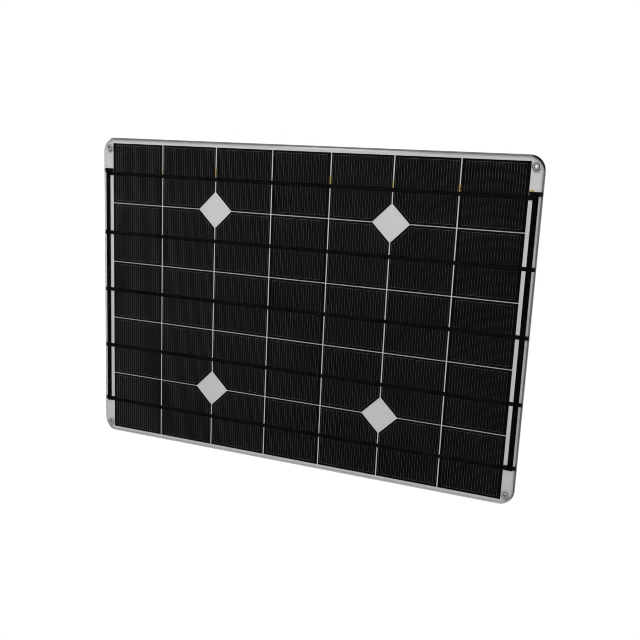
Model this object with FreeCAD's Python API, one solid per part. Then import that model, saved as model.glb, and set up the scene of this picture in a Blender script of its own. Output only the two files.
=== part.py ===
import FreeCAD, Part
import math
import os

# A 35-cell solar panel: a thin stiff laminate held by an eyelet in each corner,
# with a junction box on its back. Millimetres.
# X is the panel's width, Z is up, and the cells face -Y.
# The origin is the centre of the four corner holes, on the panel's back face.

# Outline
PANEL_W = 390.0
PANEL_H = 275.0
CORNER_R = 12.0

# Layers, each listed from the back face (y = 0) towards the front
PLATE_T = 1.5
BACKSHEET_T = 0.3
REAR_SHEET_T = 0.35
RIBBON_T = 0.12
CELL_T = 0.20
MASK_T = 0.08
FRONT_SHEET_T = 0.18
COVER_T = 1.1

# Cells: a wafer cut three by three, so the outer thirds and the middle third differ
OUTER_W = 52.2
MIDDLE_W = 51.4
OUTER_H = 52.8
MIDDLE_H = 51.9
COLUMNS = [MIDDLE_W, OUTER_W, OUTER_W, MIDDLE_W, OUTER_W, OUTER_W, MIDDLE_W]
ROWS = [OUTER_H, OUTER_H, MIDDLE_H, OUTER_H, OUTER_H]
COLUMN_GAP = 1.0
ROW_GAP = 0.8
LEFT_MARGIN = 10.4
TOP_MARGIN = 4.8
WAFER_CORNER = 15.0               # leg of the cut corner of a wafer
WAFER_CORNER_COLUMNS = (2, 5)     # wafer corners lie after these columns
WAFER_CORNER_ROWS = (1, 4)        # and after these rows

# Ribbons and bus bars
RIBBON_W = 3.3
RIBBON_DZ = [-0.5, -0.2, 0.0, -0.3, 0.3]     # each ribbon against its row's middle
END_TAB_DZ = [2.9, 0.0, 0.0, 0.0, 0.8]       # each end tab against its ribbon
END_TAB_INSET = 0.4                          # end tabs stop this far inside the outline
RIBBON_START = 0.3                           # ribbons start this far inside a cell's edge
RIBBON_STOP = 2.0                            # and stop short of the next cell's far edge
RIBBON_BENDS = (0.25, 0.85, 0.70, 0.10)      # bends, as shares of the gap between two cells
BUS_W = 3.0
MASK_W = 4.3
LEFT_BUS_X = -190.2
RIGHT_BUS_X = 189.7
LEAD_W = 3.0
LEAD_X = 9.0                                 # output leads go through the back here
LEAD_FOOT = 4.0                              # length of a lead's foot on its terminal

# Rim of the clear cover: (distance in from the outline, drop below the front face)
RIM_OUTER = (1.4, 0.85)
RIM_INNER = (2.7, 0.22)

# Corner eyelets
HOLE_X = 188.0
HOLE_Z = 129.0
HOLE_R = 1.62
EYELET_BORE_R = 1.1
EYELET_R = 1.6
FLANGE_R = 2.9
FLANGE_T = 0.3
FLANGE_EDGE_R = 0.22
FLANGE_SEAT_R = 3.0

# Junction box on the back
BOX_W = 74.0
BOX_H = 56.0
BOX_D = 17.0
BOX_WALL = 3.0
BOX_FLOOR = 2.0
BOX_CORNER_R = 4.0
BOX_INNER_R = 1.5
BOX_DROP = 12.0                   # box's middle below the first row's ribbon
PAD_T = 0.8
PAD_INSET = 1.5
SLOT_W = 28.0
SLOT_H = 7.0
SLOT_FLOOR = 0.1                  # film left over the cells at the bottom of the slot
PAD_SLOT_GROW = 0.5
LID_T = 2.4
LID_GAP = 0.35
LID_EDGE_R = 0.8
LID_STEP = 0.2                    # arm and tongue roots start this far up the lid
GROOVE_W = 1.2
GROOVE_D = 0.9
GASKET_W = 1.1
GASKET_H = 1.0

# Lid hinge
PIN_R = 1.2
KNUCKLE_R = 2.6
HINGE_OUT = 3.4                   # hinge axis above the box's top wall
HINGE_BACK = 0.4                  # hinge axis behind the lid's inner face
BASE_KNUCKLES = ((-31.0, -17.0), (17.0, 31.0))
LID_KNUCKLE = (-16.7, 16.7)
ARM_T = 2.0
WEB_L = 9.0                       # the base knuckles' webs run this far down the wall
WEB_T = 1.2
WEB_SINK = 0.5
WEB_TOP = 0.6
LID_BORE_CLEARANCE = 0.06
BASE_BORE_CLEARANCE = 0.03
HEEL_R = 3.8                      # a heel on the lid's knuckle stops against the top wall:
HEEL_T = 1.0                      # its middle would meet it at LID_STOP_DEG, and its
LID_STOP_DEG = 122.0              # leading corner does at 113 degrees

# Latch tongues on the lid
TONGUE_X = 25.0
TONGUE_W = 10.0
TONGUE_T = 1.6
TONGUE_L = 9.0
TONGUE_GAP = 0.35
TONGUE_ROOT = 2.0                 # a tongue's root reaches this far over the box's wall

# Terminals
POST_X = 17.0
POST_DZ = -2.0
POST_W = 12.0
POST_H = 5.0
POST_SINK = 0.5
TERMINAL_W = 11.0
TERMINAL_L = 20.0
TERMINAL_T = 1.0
TERMINAL_INSET = 0.5              # at each end of its post
TERMINAL_ARM = 1.2                # the plate's arm reaches this far past a lead's middle
SCREW_R = 1.5
SCREW_CLEARANCE = 0.04
SCREW_L = 4.5
SCREW_DZ = -3.0
SCREW_HEAD_R = 2.9
SCREW_HEAD_T = 1.9
SCREW_CROWN_R = 0.7
CROSS_REACH = 1.9
CROSS_HALF = 0.35
CROSS_DEEP = 1.0
DIODE_R = 2.6
DIODE_L = 9.0
DIODE_END_R = 0.5
DIODE_LEAD_R = 0.6
DIODE_LIFT = 0.4
DIODE_DZ = 3.6
DIODE_FOOT = 3.0                  # a lead's foot, in from the terminal's inner edge

# Cable gland in the bottom wall
GLAND_THREAD_R = 6.0
GLAND_CLEARANCE = 0.04
GLAND_HEX_AF = 15.0
GLAND_HEX_T = 4.0
GLAND_NECK_R = 5.6
GLAND_NECK_L = 7.0
GLAND_INSIDE = 2.5                # thread left inside the box
GLAND_BORE_R = 3.6
GLAND_SEAT_R = 4.4
NUT_R = 7.2
NUT_L = 11.0
NUT_MOUTH_R = 3.6
NUT_DOME_R = 3.0
NUT_GAP = 0.3                     # nut to hexagon, and to the neck and seal inside it
NUT_RIBS = 12
RIB_R = 0.7
RIB_OUT = 0.25
RIB_START = 3.4
SEAL_BORE_R = 2.6
SEAL_L = 9.0
SEAL_GAP = 0.1
SEAL_CLEARANCE = 0.05

OVER = 1.0                        # cutters run this far past the faces they cut
TINY = 1e-6

# Levels worked out from the layers
Y_PLATE = -PLATE_T
Y_BACKSHEET = Y_PLATE - BACKSHEET_T
Y_REAR = Y_BACKSHEET - REAR_SHEET_T
Y_CELL_BACK = Y_REAR - RIBBON_T
Y_CELL_FRONT = Y_CELL_BACK - CELL_T
Y_RIBBON = Y_CELL_FRONT - RIBBON_T
Y_MASK = Y_RIBBON - MASK_T
Y_FRONT_SHEET = Y_MASK - FRONT_SHEET_T
Y_FRONT = Y_FRONT_SHEET - COVER_T
Y_LEAD = Y_BACKSHEET - RIBBON_T

ROW_TOPS = [PANEL_H / 2 - TOP_MARGIN - sum(ROWS[:i]) - i * ROW_GAP for i in range(5)]
COLUMN_LEFTS = [-PANEL_W / 2 + LEFT_MARGIN + sum(COLUMNS[:i]) + i * COLUMN_GAP
                for i in range(7)]
RIBBON_Z = [top - height / 2 + shift for top, height, shift in zip(ROW_TOPS, ROWS, RIBBON_DZ)]
CELLS_LEFT = COLUMN_LEFTS[0]
CELLS_RIGHT = COLUMN_LEFTS[-1] + COLUMNS[-1]
HOLES = [(sx * HOLE_X, sz * HOLE_Z) for sx in (-1, 1) for sz in (-1, 1)]

BOX_Z = RIBBON_Z[0] - BOX_DROP    # middle of the junction box
Y_BOX = PAD_T                     # outer face of the box's floor
Y_RIM = Y_BOX + BOX_D
Y_LID = Y_RIM + LID_GAP
BOX_TOP = BOX_Z + BOX_H / 2
BOX_BOTTOM = BOX_Z - BOX_H / 2
HINGE_Y = Y_LID + HINGE_BACK
HINGE_Z = BOX_TOP + HINGE_OUT
Y_POST = Y_BOX + BOX_FLOOR + POST_H
TERMINAL_Z = BOX_Z + POST_DZ
SCREW_Z = TERMINAL_Z + SCREW_DZ
GLAND_Y = Y_BOX + BOX_D / 2
HEX_END = BOX_BOTTOM - GLAND_HEX_T
NECK_END = HEX_END - GLAND_NECK_L

VECTOR = FreeCAD.Vector


def save(name, *solids):
    """Write one node. Several solids in a node are separate pieces of one kind."""
    shape = solids[0] if len(solids) == 1 else Part.makeCompound(list(solids))
    for solid in shape.Solids:
        if not solid.isValid():
            raise ValueError(name + " isn't valid")
    shape.exportStep("parts/" + name + ".step")
    print("%-22s %2d solid(s) %10.2f mm3" % (name, len(shape.Solids), shape.Volume))


def block(x0, x1, y0, y1, z0, z1):
    return Part.makeBox(x1 - x0, y1 - y0, z1 - z0, VECTOR(x0, y0, z0))


def rod_y(radius, y0, y1, x, z):
    return Part.makeCylinder(radius, y1 - y0, VECTOR(x, y0, z), VECTOR(0, 1, 0))


def rod_x(radius, x0, x1, y, z):
    return Part.makeCylinder(radius, x1 - x0, VECTOR(x0, y, z), VECTOR(1, 0, 0))


def rod_z(radius, z0, z1, x, y):
    return Part.makeCylinder(radius, z1 - z0, VECTOR(x, y, z0), VECTOR(0, 0, 1))


def rounded(solid, radius):
    """Round the edges of a block that run along Y."""
    upright = [edge for edge in solid.Edges
               if abs(edge.tangentAt(edge.FirstParameter).y) > 0.99]
    return solid.makeFillet(radius, upright)


def sheet(y0, y1, inset=0.0):
    """One full-size layer of the laminate."""
    half_w = PANEL_W / 2 - inset
    half_h = PANEL_H / 2 - inset
    return rounded(block(-half_w, half_w, y0, y1, -half_h, half_h), CORNER_R - inset)


def drill(solid, y0, y1, radius=HOLE_R):
    """Cut the four corner holes."""
    return solid.cut([rod_y(radius, y0, y1, x, z) for x, z in HOLES])


def lead_slot(y0, y1, grow=0.0):
    """The opening that the output leads go through, behind the first row's ribbon."""
    return block(-SLOT_W / 2 - grow, SLOT_W / 2 + grow, y0, y1,
                 RIBBON_Z[0] - SLOT_H / 2 - grow, RIBBON_Z[0] + SLOT_H / 2 + grow)


def outline_solid(points, z0, z1):
    """A closed outline of (x, y) points, raised from z0 to z1."""
    corners = [VECTOR(x, y, z0) for x, y in points]
    face = Part.Face(Part.makePolygon(corners + corners[:1]))
    return face.extrude(VECTOR(0, 0, z1 - z0))


# ---- cells ----

def cell(row, column):
    """One cell, with a cut corner wherever a wafer's corner falls."""
    x0, x1 = COLUMN_LEFTS[column - 1], COLUMN_LEFTS[column - 1] + COLUMNS[column - 1]
    z1, z0 = ROW_TOPS[row - 1], ROW_TOPS[row - 1] - ROWS[row - 1]
    points = []
    corners = (   # corner, the column and row line that it touches, the way round
        (x0, z0, column - 1, row, 1, 0, 0, 1), (x1, z0, column, row, 0, 1, -1, 0),
        (x1, z1, column, row - 1, -1, 0, 0, -1), (x0, z1, column - 1, row - 1, 0, -1, 1, 0))
    for x, z, column_line, row_line, out_x, out_z, in_x, in_z in corners:
        if column_line in WAFER_CORNER_COLUMNS and row_line in WAFER_CORNER_ROWS:
            points.append((x + in_x * WAFER_CORNER, z + in_z * WAFER_CORNER))
            points.append((x + out_x * WAFER_CORNER, z + out_z * WAFER_CORNER))
        else:
            points.append((x, z))
    wire = [VECTOR(x, Y_CELL_FRONT, z) for x, z in points]
    return Part.Face(Part.makePolygon(wire + wire[:1])).extrude(VECTOR(0, CELL_T, 0))


# ---- ribbons ----

def interconnect(row, column, way):
    """A ribbon from the front of one cell to the back of its neighbour.

    way is 1 where the ribbon goes down to the back on the right, -1 on the left.
    """
    own_left = COLUMN_LEFTS[column - 1]
    own_right = own_left + COLUMNS[column - 1]
    start, edge = (own_left, own_right) if way > 0 else (own_right, own_left)
    start += way * RIBBON_START
    far_column = column + way
    far = COLUMN_LEFTS[far_column - 1] + (COLUMNS[far_column - 1] if way > 0 else 0.0)
    far -= way * RIBBON_STOP
    bends = [edge + share * way * COLUMN_GAP for share in RIBBON_BENDS]
    points = [(start, Y_RIBBON), (bends[0], Y_RIBBON), (bends[1], Y_CELL_BACK),
              (far, Y_CELL_BACK), (far, Y_REAR), (bends[2], Y_REAR),
              (bends[3], Y_CELL_FRONT), (start, Y_CELL_FRONT)]
    half = RIBBON_W / 2
    return outline_solid(points, RIBBON_Z[row - 1] - half, RIBBON_Z[row - 1] + half)


def end_ribbon(row, side, at_front):
    """The ribbon that leaves the last cell of a row, on its front or on its back."""
    z = RIBBON_Z[row - 1]
    half = RIBBON_W / 2
    y0, y1 = (Y_RIBBON, Y_CELL_FRONT) if at_front else (Y_CELL_BACK, Y_REAR)
    cell_edge = CELLS_RIGHT if side > 0 else CELLS_LEFT
    cell_w = COLUMNS[-1] if side > 0 else COLUMNS[0]
    inner = cell_edge - side * (cell_w - RIBBON_START)
    bus_x = RIGHT_BUS_X if side > 0 else LEFT_BUS_X
    ribbon_end = bus_x + side * MASK_W / 2
    x0, x1 = sorted((inner, ribbon_end))
    strip = block(x0, x1, y0, y1, z - half, z + half)
    # the tab, which overlaps the ribbon's end and runs out to the panel's edge
    tab_z = z + END_TAB_DZ[row - 1]
    tab_x0, tab_x1 = sorted((cell_edge + side * RIBBON_START,
                              side * (PANEL_W / 2 - END_TAB_INSET)))
    tab = block(tab_x0, tab_x1, y0, y1, tab_z - half, tab_z + half)
    return strip.fuse(tab).removeSplitter()


def row_ribbons(row):
    """All the ribbons of one row. Odd rows carry the current to the right, even to the left."""
    way = 1 if row % 2 else -1
    columns = range(1, 7) if way > 0 else range(2, 8)
    pieces = [interconnect(row, column, way) for column in columns]
    pieces.append(end_ribbon(row, way, True))
    pieces.append(end_ribbon(row, -way, False))
    return pieces


def bus_link(upper_row, side):
    """The bus bar that joins the ends of two rows, in the cells' own layer."""
    x = RIGHT_BUS_X if side > 0 else LEFT_BUS_X
    z1 = RIBBON_Z[upper_row - 1] + RIBBON_W / 2
    z0 = RIBBON_Z[upper_row] - RIBBON_W / 2
    return block(x - BUS_W / 2, x + BUS_W / 2, Y_CELL_FRONT, Y_CELL_BACK, z0, z1)


def bus_mask(side):
    """The black strip that covers a whole column of bus bars from the front."""
    x = RIGHT_BUS_X if side > 0 else LEFT_BUS_X
    z1 = RIBBON_Z[0] + END_TAB_DZ[0] + RIBBON_W / 2
    z0 = RIBBON_Z[4] - RIBBON_W / 2
    return block(x - MASK_W / 2, x + MASK_W / 2, Y_MASK, Y_RIBBON, z0, z1)


def output_lead(side):
    """A flat lead from one end of the string, behind the cells, out through the back."""
    half = LEAD_W / 2
    z = RIBBON_Z[0]
    lead_x = side * LEAD_X
    x_in, x_out = sorted((lead_x - half, lead_x + half))
    y_end = Y_POST + TERMINAL_T
    # the upright part, out through the slot, and its foot on the terminal
    riser = block(x_in, x_out, Y_LEAD, y_end + RIBBON_T, z - RIBBON_T / 2, z + RIBBON_T / 2)
    foot = block(x_in, x_out, y_end, y_end + RIBBON_T,
                 TERMINAL_Z + TERMINAL_L / 2 - LEAD_FOOT, z + RIBBON_T / 2)
    if side < 0:
        start = LEFT_BUS_X
        run = block(start - half, x_out, Y_LEAD, Y_BACKSHEET, z - half, z + half)
        step = block(start - half, start + half, Y_REAR, Y_LEAD, z - half, z + half)
        return run.fuse([step, riser, foot]).removeSplitter()
    # the other end of the string is in the last row, so this lead climbs behind the cells
    z_last = RIBBON_Z[4]
    start = RIGHT_BUS_X
    step = block(start - half, start + half, Y_CELL_FRONT, Y_LEAD,
                 z_last - half, z_last + half)
    run = block(x_in, start + half, Y_LEAD, Y_BACKSHEET, z_last - half, z_last + half)
    climb = block(x_in, x_out, Y_LEAD, Y_BACKSHEET, z_last - half, z + half)
    return run.fuse([step, climb, riser, foot]).removeSplitter()


# ---- laminate ----

def clear_cover():
    """The clear front sheet. Its rim slopes down to the outline in two facets."""
    outer_wire = sheet_wire(Y_FRONT + RIM_OUTER[1], 0.0)
    middle_wire = sheet_wire(Y_FRONT + RIM_INNER[1], RIM_OUTER[0])
    inner_wire = sheet_wire(Y_FRONT, RIM_INNER[0])
    facets = [Part.makeLoft([outer_wire, middle_wire], True, True),
              Part.makeLoft([middle_wire, inner_wire], True, True)]
    base = sheet(Y_FRONT + RIM_OUTER[1], Y_FRONT_SHEET)
    return drill(base.fuse(facets).removeSplitter(), Y_FRONT - OVER, Y_FRONT_SHEET + OVER)


def sheet_wire(y, inset):
    """The laminate's outline at a level, set in by a distance."""
    for face in sheet(y, y + OVER, inset).Faces:
        if abs(face.CenterOfMass.y - y) < TINY:
            return face.OuterWire


# ---- corner eyelets ----

def eyelet(x, z):
    """A crimped eyelet: a tube with a raised flange in front and a sunk one behind."""
    tube = rod_y(EYELET_R, Y_FRONT - FLANGE_T, 0, x, z)
    front = rod_y(FLANGE_R, Y_FRONT - FLANGE_T, Y_FRONT, x, z)
    lip = [edge for edge in front.Edges if abs(edge.CenterOfMass.y - Y_FRONT + FLANGE_T) < TINY]
    front = front.makeFillet(FLANGE_EDGE_R, lip)
    back = rod_y(FLANGE_R, -FLANGE_T, 0, x, z)
    body = tube.fuse([front, back]).removeSplitter()
    return body.cut(rod_y(EYELET_BORE_R, Y_FRONT - OVER, OVER, x, z))


# ---- junction box ----

def box_block(y0, y1, inset=0.0, corner=BOX_CORNER_R):
    return rounded(block(-BOX_W / 2 + inset, BOX_W / 2 - inset, y0, y1,
                         BOX_BOTTOM + inset, BOX_TOP - inset), corner)


def box_ring(y0, y1, inset, width):
    outer = box_block(y0, y1, inset, BOX_CORNER_R - inset)
    inner = box_block(y0, y1, inset + width, BOX_CORNER_R - inset - width)
    return outer.cut(inner)


def junction_box_base():
    shell = box_block(Y_BOX, Y_RIM)
    inside = box_block(Y_BOX + BOX_FLOOR, Y_RIM + OVER, BOX_WALL, BOX_INNER_R)
    shell = shell.cut(inside)
    shell = shell.cut(lead_slot(Y_BOX - OVER, Y_BOX + BOX_FLOOR + OVER))
    groove_in = (BOX_WALL - GROOVE_W) / 2
    shell = shell.cut(box_ring(Y_RIM - GROOVE_D, Y_RIM + OVER, groove_in, GROOVE_W))
    posts = [block(s * POST_X - POST_W / 2, s * POST_X + POST_W / 2,
                   Y_BOX + BOX_FLOOR - POST_SINK, Y_POST,
                   TERMINAL_Z - TERMINAL_L / 2, TERMINAL_Z + TERMINAL_L / 2)
             for s in (-1, 1)]
    knuckles = []
    for x0, x1 in BASE_KNUCKLES:
        knuckles.append(rod_x(KNUCKLE_R, x0, x1, HINGE_Y, HINGE_Z))
        # the web that carries the knuckle, sloping from it down to the wall
        web = [VECTOR(x0, HINGE_Y - KNUCKLE_R, HINGE_Z), VECTOR(x0, HINGE_Y, HINGE_Z - WEB_TOP),
               VECTOR(x0, HINGE_Y - WEB_T, BOX_TOP - WEB_SINK),
               VECTOR(x0, Y_RIM - WEB_L, BOX_TOP - WEB_SINK)]
        knuckles.append(Part.Face(Part.makePolygon(web + web[:1])).extrude(VECTOR(x1 - x0, 0, 0)))
    shell = shell.fuse(posts + knuckles).removeSplitter()
    holes = [rod_x(PIN_R + BASE_BORE_CLEARANCE, x0 - OVER, x1 + OVER, HINGE_Y, HINGE_Z)
             for x0, x1 in BASE_KNUCKLES]
    holes += [rod_y(SCREW_R + SCREW_CLEARANCE, Y_POST - SCREW_L, Y_POST + OVER,
                    s * POST_X, SCREW_Z) for s in (-1, 1)]
    holes.append(rod_z(GLAND_THREAD_R + GLAND_CLEARANCE, BOX_BOTTOM - OVER,
                       BOX_BOTTOM + BOX_WALL + OVER, 0, GLAND_Y))
    return shell.cut(holes)


def junction_box_lid():
    plate = box_block(Y_LID, Y_LID + LID_T)
    rim = [edge for edge in plate.Edges if edge.CenterOfMass.y > Y_LID + LID_T - TINY]
    plate = plate.makeFillet(LID_EDGE_R, rim)
    tongues = []
    for s in (-1, 1):
        x0, x1 = s * TONGUE_X - TONGUE_W / 2, s * TONGUE_X + TONGUE_W / 2
        z1 = BOX_BOTTOM - TONGUE_GAP
        y1 = Y_LID + LID_T - LID_EDGE_R
        tongues.append(block(x0, x1, Y_LID + LID_T - TONGUE_L, y1, z1 - TONGUE_T, z1))
        tongues.append(block(x0, x1, Y_LID + LID_STEP, y1, z1 - TONGUE_T,
                             BOX_BOTTOM + TONGUE_ROOT))
    x0, x1 = LID_KNUCKLE
    knuckle = rod_x(KNUCKLE_R, x0, x1, HINGE_Y, HINGE_Z)
    arm = block(x0, x1, Y_LID + LID_STEP, Y_LID + LID_STEP + ARM_T, BOX_TOP - ARM_T, HINGE_Z)
    # the heel starts from straight up, turned in by what is left of the way to the wall
    wall_angle = 180.0 - math.degrees(math.acos(HINGE_OUT / HEEL_R))
    heel = block(x0, x1, HINGE_Y - HEEL_T / 2, HINGE_Y + HEEL_T / 2, HINGE_Z, HINGE_Z + HEEL_R)
    heel.rotate(VECTOR(0, HINGE_Y, HINGE_Z), VECTOR(1, 0, 0), wall_angle - LID_STOP_DEG)
    lid = plate.fuse(tongues + [knuckle, arm, heel]).removeSplitter()
    return lid.cut(rod_x(PIN_R + LID_BORE_CLEARANCE, x0 - OVER, x1 + OVER, HINGE_Y, HINGE_Z))


def terminal(side):
    """A brass plate on its post, with the hole for its screw."""
    x = side * POST_X
    z0 = TERMINAL_Z - TERMINAL_L / 2 + TERMINAL_INSET
    z1 = TERMINAL_Z + TERMINAL_L / 2 - TERMINAL_INSET
    plate = block(x - TERMINAL_W / 2, x + TERMINAL_W / 2, Y_POST, Y_POST + TERMINAL_T, z0, z1)
    # an arm that reaches in to the output lead
    arm_x0, arm_x1 = sorted((side * (LEAD_X - TERMINAL_ARM), x))
    arm = block(arm_x0, arm_x1, Y_POST, Y_POST + TERMINAL_T, z1 - LEAD_FOOT, z1)
    body = plate.fuse(arm).removeSplitter()
    return body.cut(rod_y(SCREW_R + SCREW_CLEARANCE, Y_POST - OVER,
                          Y_POST + TERMINAL_T + OVER, x, SCREW_Z))


def terminal_screw(side):
    """A pan head screw with a cross slot."""
    x, z = side * POST_X, SCREW_Z
    y = Y_POST + TERMINAL_T
    y_top = y + SCREW_HEAD_T
    shank = rod_y(SCREW_R, y - SCREW_L, y, x, z)
    head = rod_y(SCREW_HEAD_R, y, y_top, x, z)
    crown = [edge for edge in head.Edges if edge.CenterOfMass.y > y_top - TINY]
    head = head.makeFillet(SCREW_CROWN_R, crown)
    body = shank.fuse(head).removeSplitter()
    cross = [block(x - CROSS_REACH, x + CROSS_REACH, y_top - CROSS_DEEP, y_top + OVER,
                   z - CROSS_HALF, z + CROSS_HALF),
             block(x - CROSS_HALF, x + CROSS_HALF, y_top - CROSS_DEEP, y_top + OVER,
                   z - CROSS_REACH, z + CROSS_REACH)]
    return body.cut(cross)


def bypass_diode():
    """An axial diode across the two terminals, with its leads bent down on to them."""
    y = Y_POST + TERMINAL_T + DIODE_R + DIODE_LIFT
    z = TERMINAL_Z + DIODE_DZ
    body = rod_x(DIODE_R, -DIODE_L / 2, DIODE_L / 2, y, z)
    ends = [edge for edge in body.Edges if abs(abs(edge.CenterOfMass.x) - DIODE_L / 2) < TINY]
    body = body.makeFillet(DIODE_END_R, ends)
    reach = POST_X - TERMINAL_W / 2 + DIODE_FOOT
    lead = rod_x(DIODE_LEAD_R, -reach, reach, y, z)
    feet = [Part.makeCylinder(DIODE_LEAD_R, y - Y_POST - TERMINAL_T,
                              VECTOR(s * reach, Y_POST + TERMINAL_T, z), VECTOR(0, 1, 0))
            for s in (-1, 1)]
    elbows = [Part.makeSphere(DIODE_LEAD_R, VECTOR(s * reach, y, z)) for s in (-1, 1)]
    return body.fuse([lead] + feet + elbows).removeSplitter()


# ---- cable gland ----

def hexagon(across_flats, z0, z1, y):
    radius = across_flats / math.sqrt(3.0)
    points = [VECTOR(radius * math.cos(math.radians(60 * i)),
                     y + radius * math.sin(math.radians(60 * i)), z0) for i in range(6)]
    return Part.Face(Part.makePolygon(points + points[:1])).extrude(VECTOR(0, 0, z1 - z0))


def gland_body():
    top = BOX_BOTTOM + BOX_WALL + GLAND_INSIDE
    thread = rod_z(GLAND_THREAD_R, BOX_BOTTOM, top, 0, GLAND_Y)
    flange = hexagon(GLAND_HEX_AF, HEX_END, BOX_BOTTOM, GLAND_Y)
    neck = rod_z(GLAND_NECK_R, NECK_END, HEX_END, 0, GLAND_Y)
    body = flange.fuse([thread, neck]).removeSplitter()
    bore = rod_z(GLAND_BORE_R, NECK_END - OVER, top + OVER, 0, GLAND_Y)
    seat = rod_z(GLAND_SEAT_R, NECK_END - OVER, HEX_END, 0, GLAND_Y)
    return body.cut([bore, seat])


def gland_seal():
    z1 = HEX_END - SEAL_GAP
    body = rod_z(GLAND_SEAT_R - SEAL_CLEARANCE, z1 - SEAL_L, z1, 0, GLAND_Y)
    return body.cut(rod_z(SEAL_BORE_R, z1 - SEAL_L - OVER, z1 + OVER, 0, GLAND_Y))


def gland_nut():
    """A ribbed dome nut over the gland's neck."""
    z1 = HEX_END - NUT_GAP
    z0 = z1 - NUT_L
    body = rod_z(NUT_R, z0, z1, 0, GLAND_Y)
    dome = [edge for edge in body.Edges if edge.CenterOfMass.z < z0 + TINY]
    body = body.makeFillet(NUT_DOME_R, dome)
    pocket = rod_z(GLAND_NECK_R + GLAND_CLEARANCE, NECK_END - NUT_GAP, z1 + OVER, 0, GLAND_Y)
    well = rod_z(GLAND_SEAT_R + SEAL_GAP, z1 - SEAL_L - NUT_GAP, z1, 0, GLAND_Y)
    mouth = rod_z(NUT_MOUTH_R, z0 - OVER, z1, 0, GLAND_Y)
    grooves = []
    for i in range(NUT_RIBS):
        angle = 2 * math.pi * i / NUT_RIBS
        grooves.append(rod_z(RIB_R, z0 + RIB_START, z1 + OVER,
                             (NUT_R + RIB_OUT) * math.cos(angle),
                             GLAND_Y + (NUT_R + RIB_OUT) * math.sin(angle)))
    return body.cut([pocket, well, mouth] + grooves)


def main():
    os.makedirs("parts", exist_ok=True)

    cells = {}
    for row in range(1, 6):
        for column in range(1, 8):
            cells["cell_r%d_c%d" % (row, column)] = cell(row, column)
    for name, solid in cells.items():
        save(name, solid)

    ribbons = [row_ribbons(row) for row in range(1, 6)]
    for row, pieces in enumerate(ribbons, 1):
        save("row_%d_ribbons" % row, *pieces)
    links = [bus_link(1, 1), bus_link(2, -1), bus_link(3, 1), bus_link(4, -1)]
    save("bus_links", *links)
    masks = [bus_mask(-1), bus_mask(1)]
    save("bus_masks", *masks)
    leads = [output_lead(-1), output_lead(1)]
    save("output_leads", *leads)

    save("clear_cover", clear_cover())
    front = drill(sheet(Y_FRONT_SHEET, Y_REAR), Y_FRONT_SHEET - OVER, Y_REAR + OVER)
    front = front.cut(list(cells.values()))
    for pieces in ribbons:
        front = front.cut(pieces)
    front = front.cut(links).cut(masks).cut(leads)
    save("front_encapsulant", *front.Solids)
    rear = drill(sheet(Y_REAR, Y_BACKSHEET), Y_REAR - OVER, Y_BACKSHEET + OVER)
    rear = rear.cut(lead_slot(Y_REAR + SLOT_FLOOR, Y_BACKSHEET + OVER)).cut(leads)
    save("rear_encapsulant", *rear.Solids)
    backsheet = drill(sheet(Y_BACKSHEET, Y_PLATE), Y_BACKSHEET - OVER, Y_PLATE + OVER)
    save("white_backsheet", backsheet.cut(lead_slot(Y_BACKSHEET - OVER, Y_PLATE + OVER)))
    plate = drill(sheet(Y_PLATE, 0), Y_PLATE - OVER, OVER)
    plate = drill(plate, -FLANGE_T, OVER, FLANGE_SEAT_R)
    save("backing_plate", plate.cut(lead_slot(Y_PLATE - OVER, OVER)))
    save("corner_eyelets", *[eyelet(x, z) for x, z in HOLES])

    pad = box_block(0, PAD_T, PAD_INSET, BOX_CORNER_R - PAD_INSET)
    save("box_adhesive_pad", pad.cut(lead_slot(-OVER, PAD_T + OVER, PAD_SLOT_GROW)))
    save("junction_box_base", junction_box_base())
    save("junction_box_lid", junction_box_lid())
    save("lid_hinge_pin", rod_x(PIN_R, BASE_KNUCKLES[0][0], BASE_KNUCKLES[1][1],
                                HINGE_Y, HINGE_Z))
    gasket_in = (BOX_WALL - GASKET_W) / 2
    save("lid_gasket", box_ring(Y_RIM - GROOVE_D, Y_RIM - GROOVE_D + GASKET_H,
                                gasket_in, GASKET_W))
    save("terminal_plates", terminal(-1), terminal(1))
    save("terminal_screws", terminal_screw(-1), terminal_screw(1))
    save("bypass_diode", bypass_diode())
    save("gland_body", gland_body())
    save("gland_seal", gland_seal())
    save("gland_nut", gland_nut())


main()
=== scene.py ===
import math
import random
import bmesh
import bpy
from mathutils import Matrix, Vector


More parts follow.
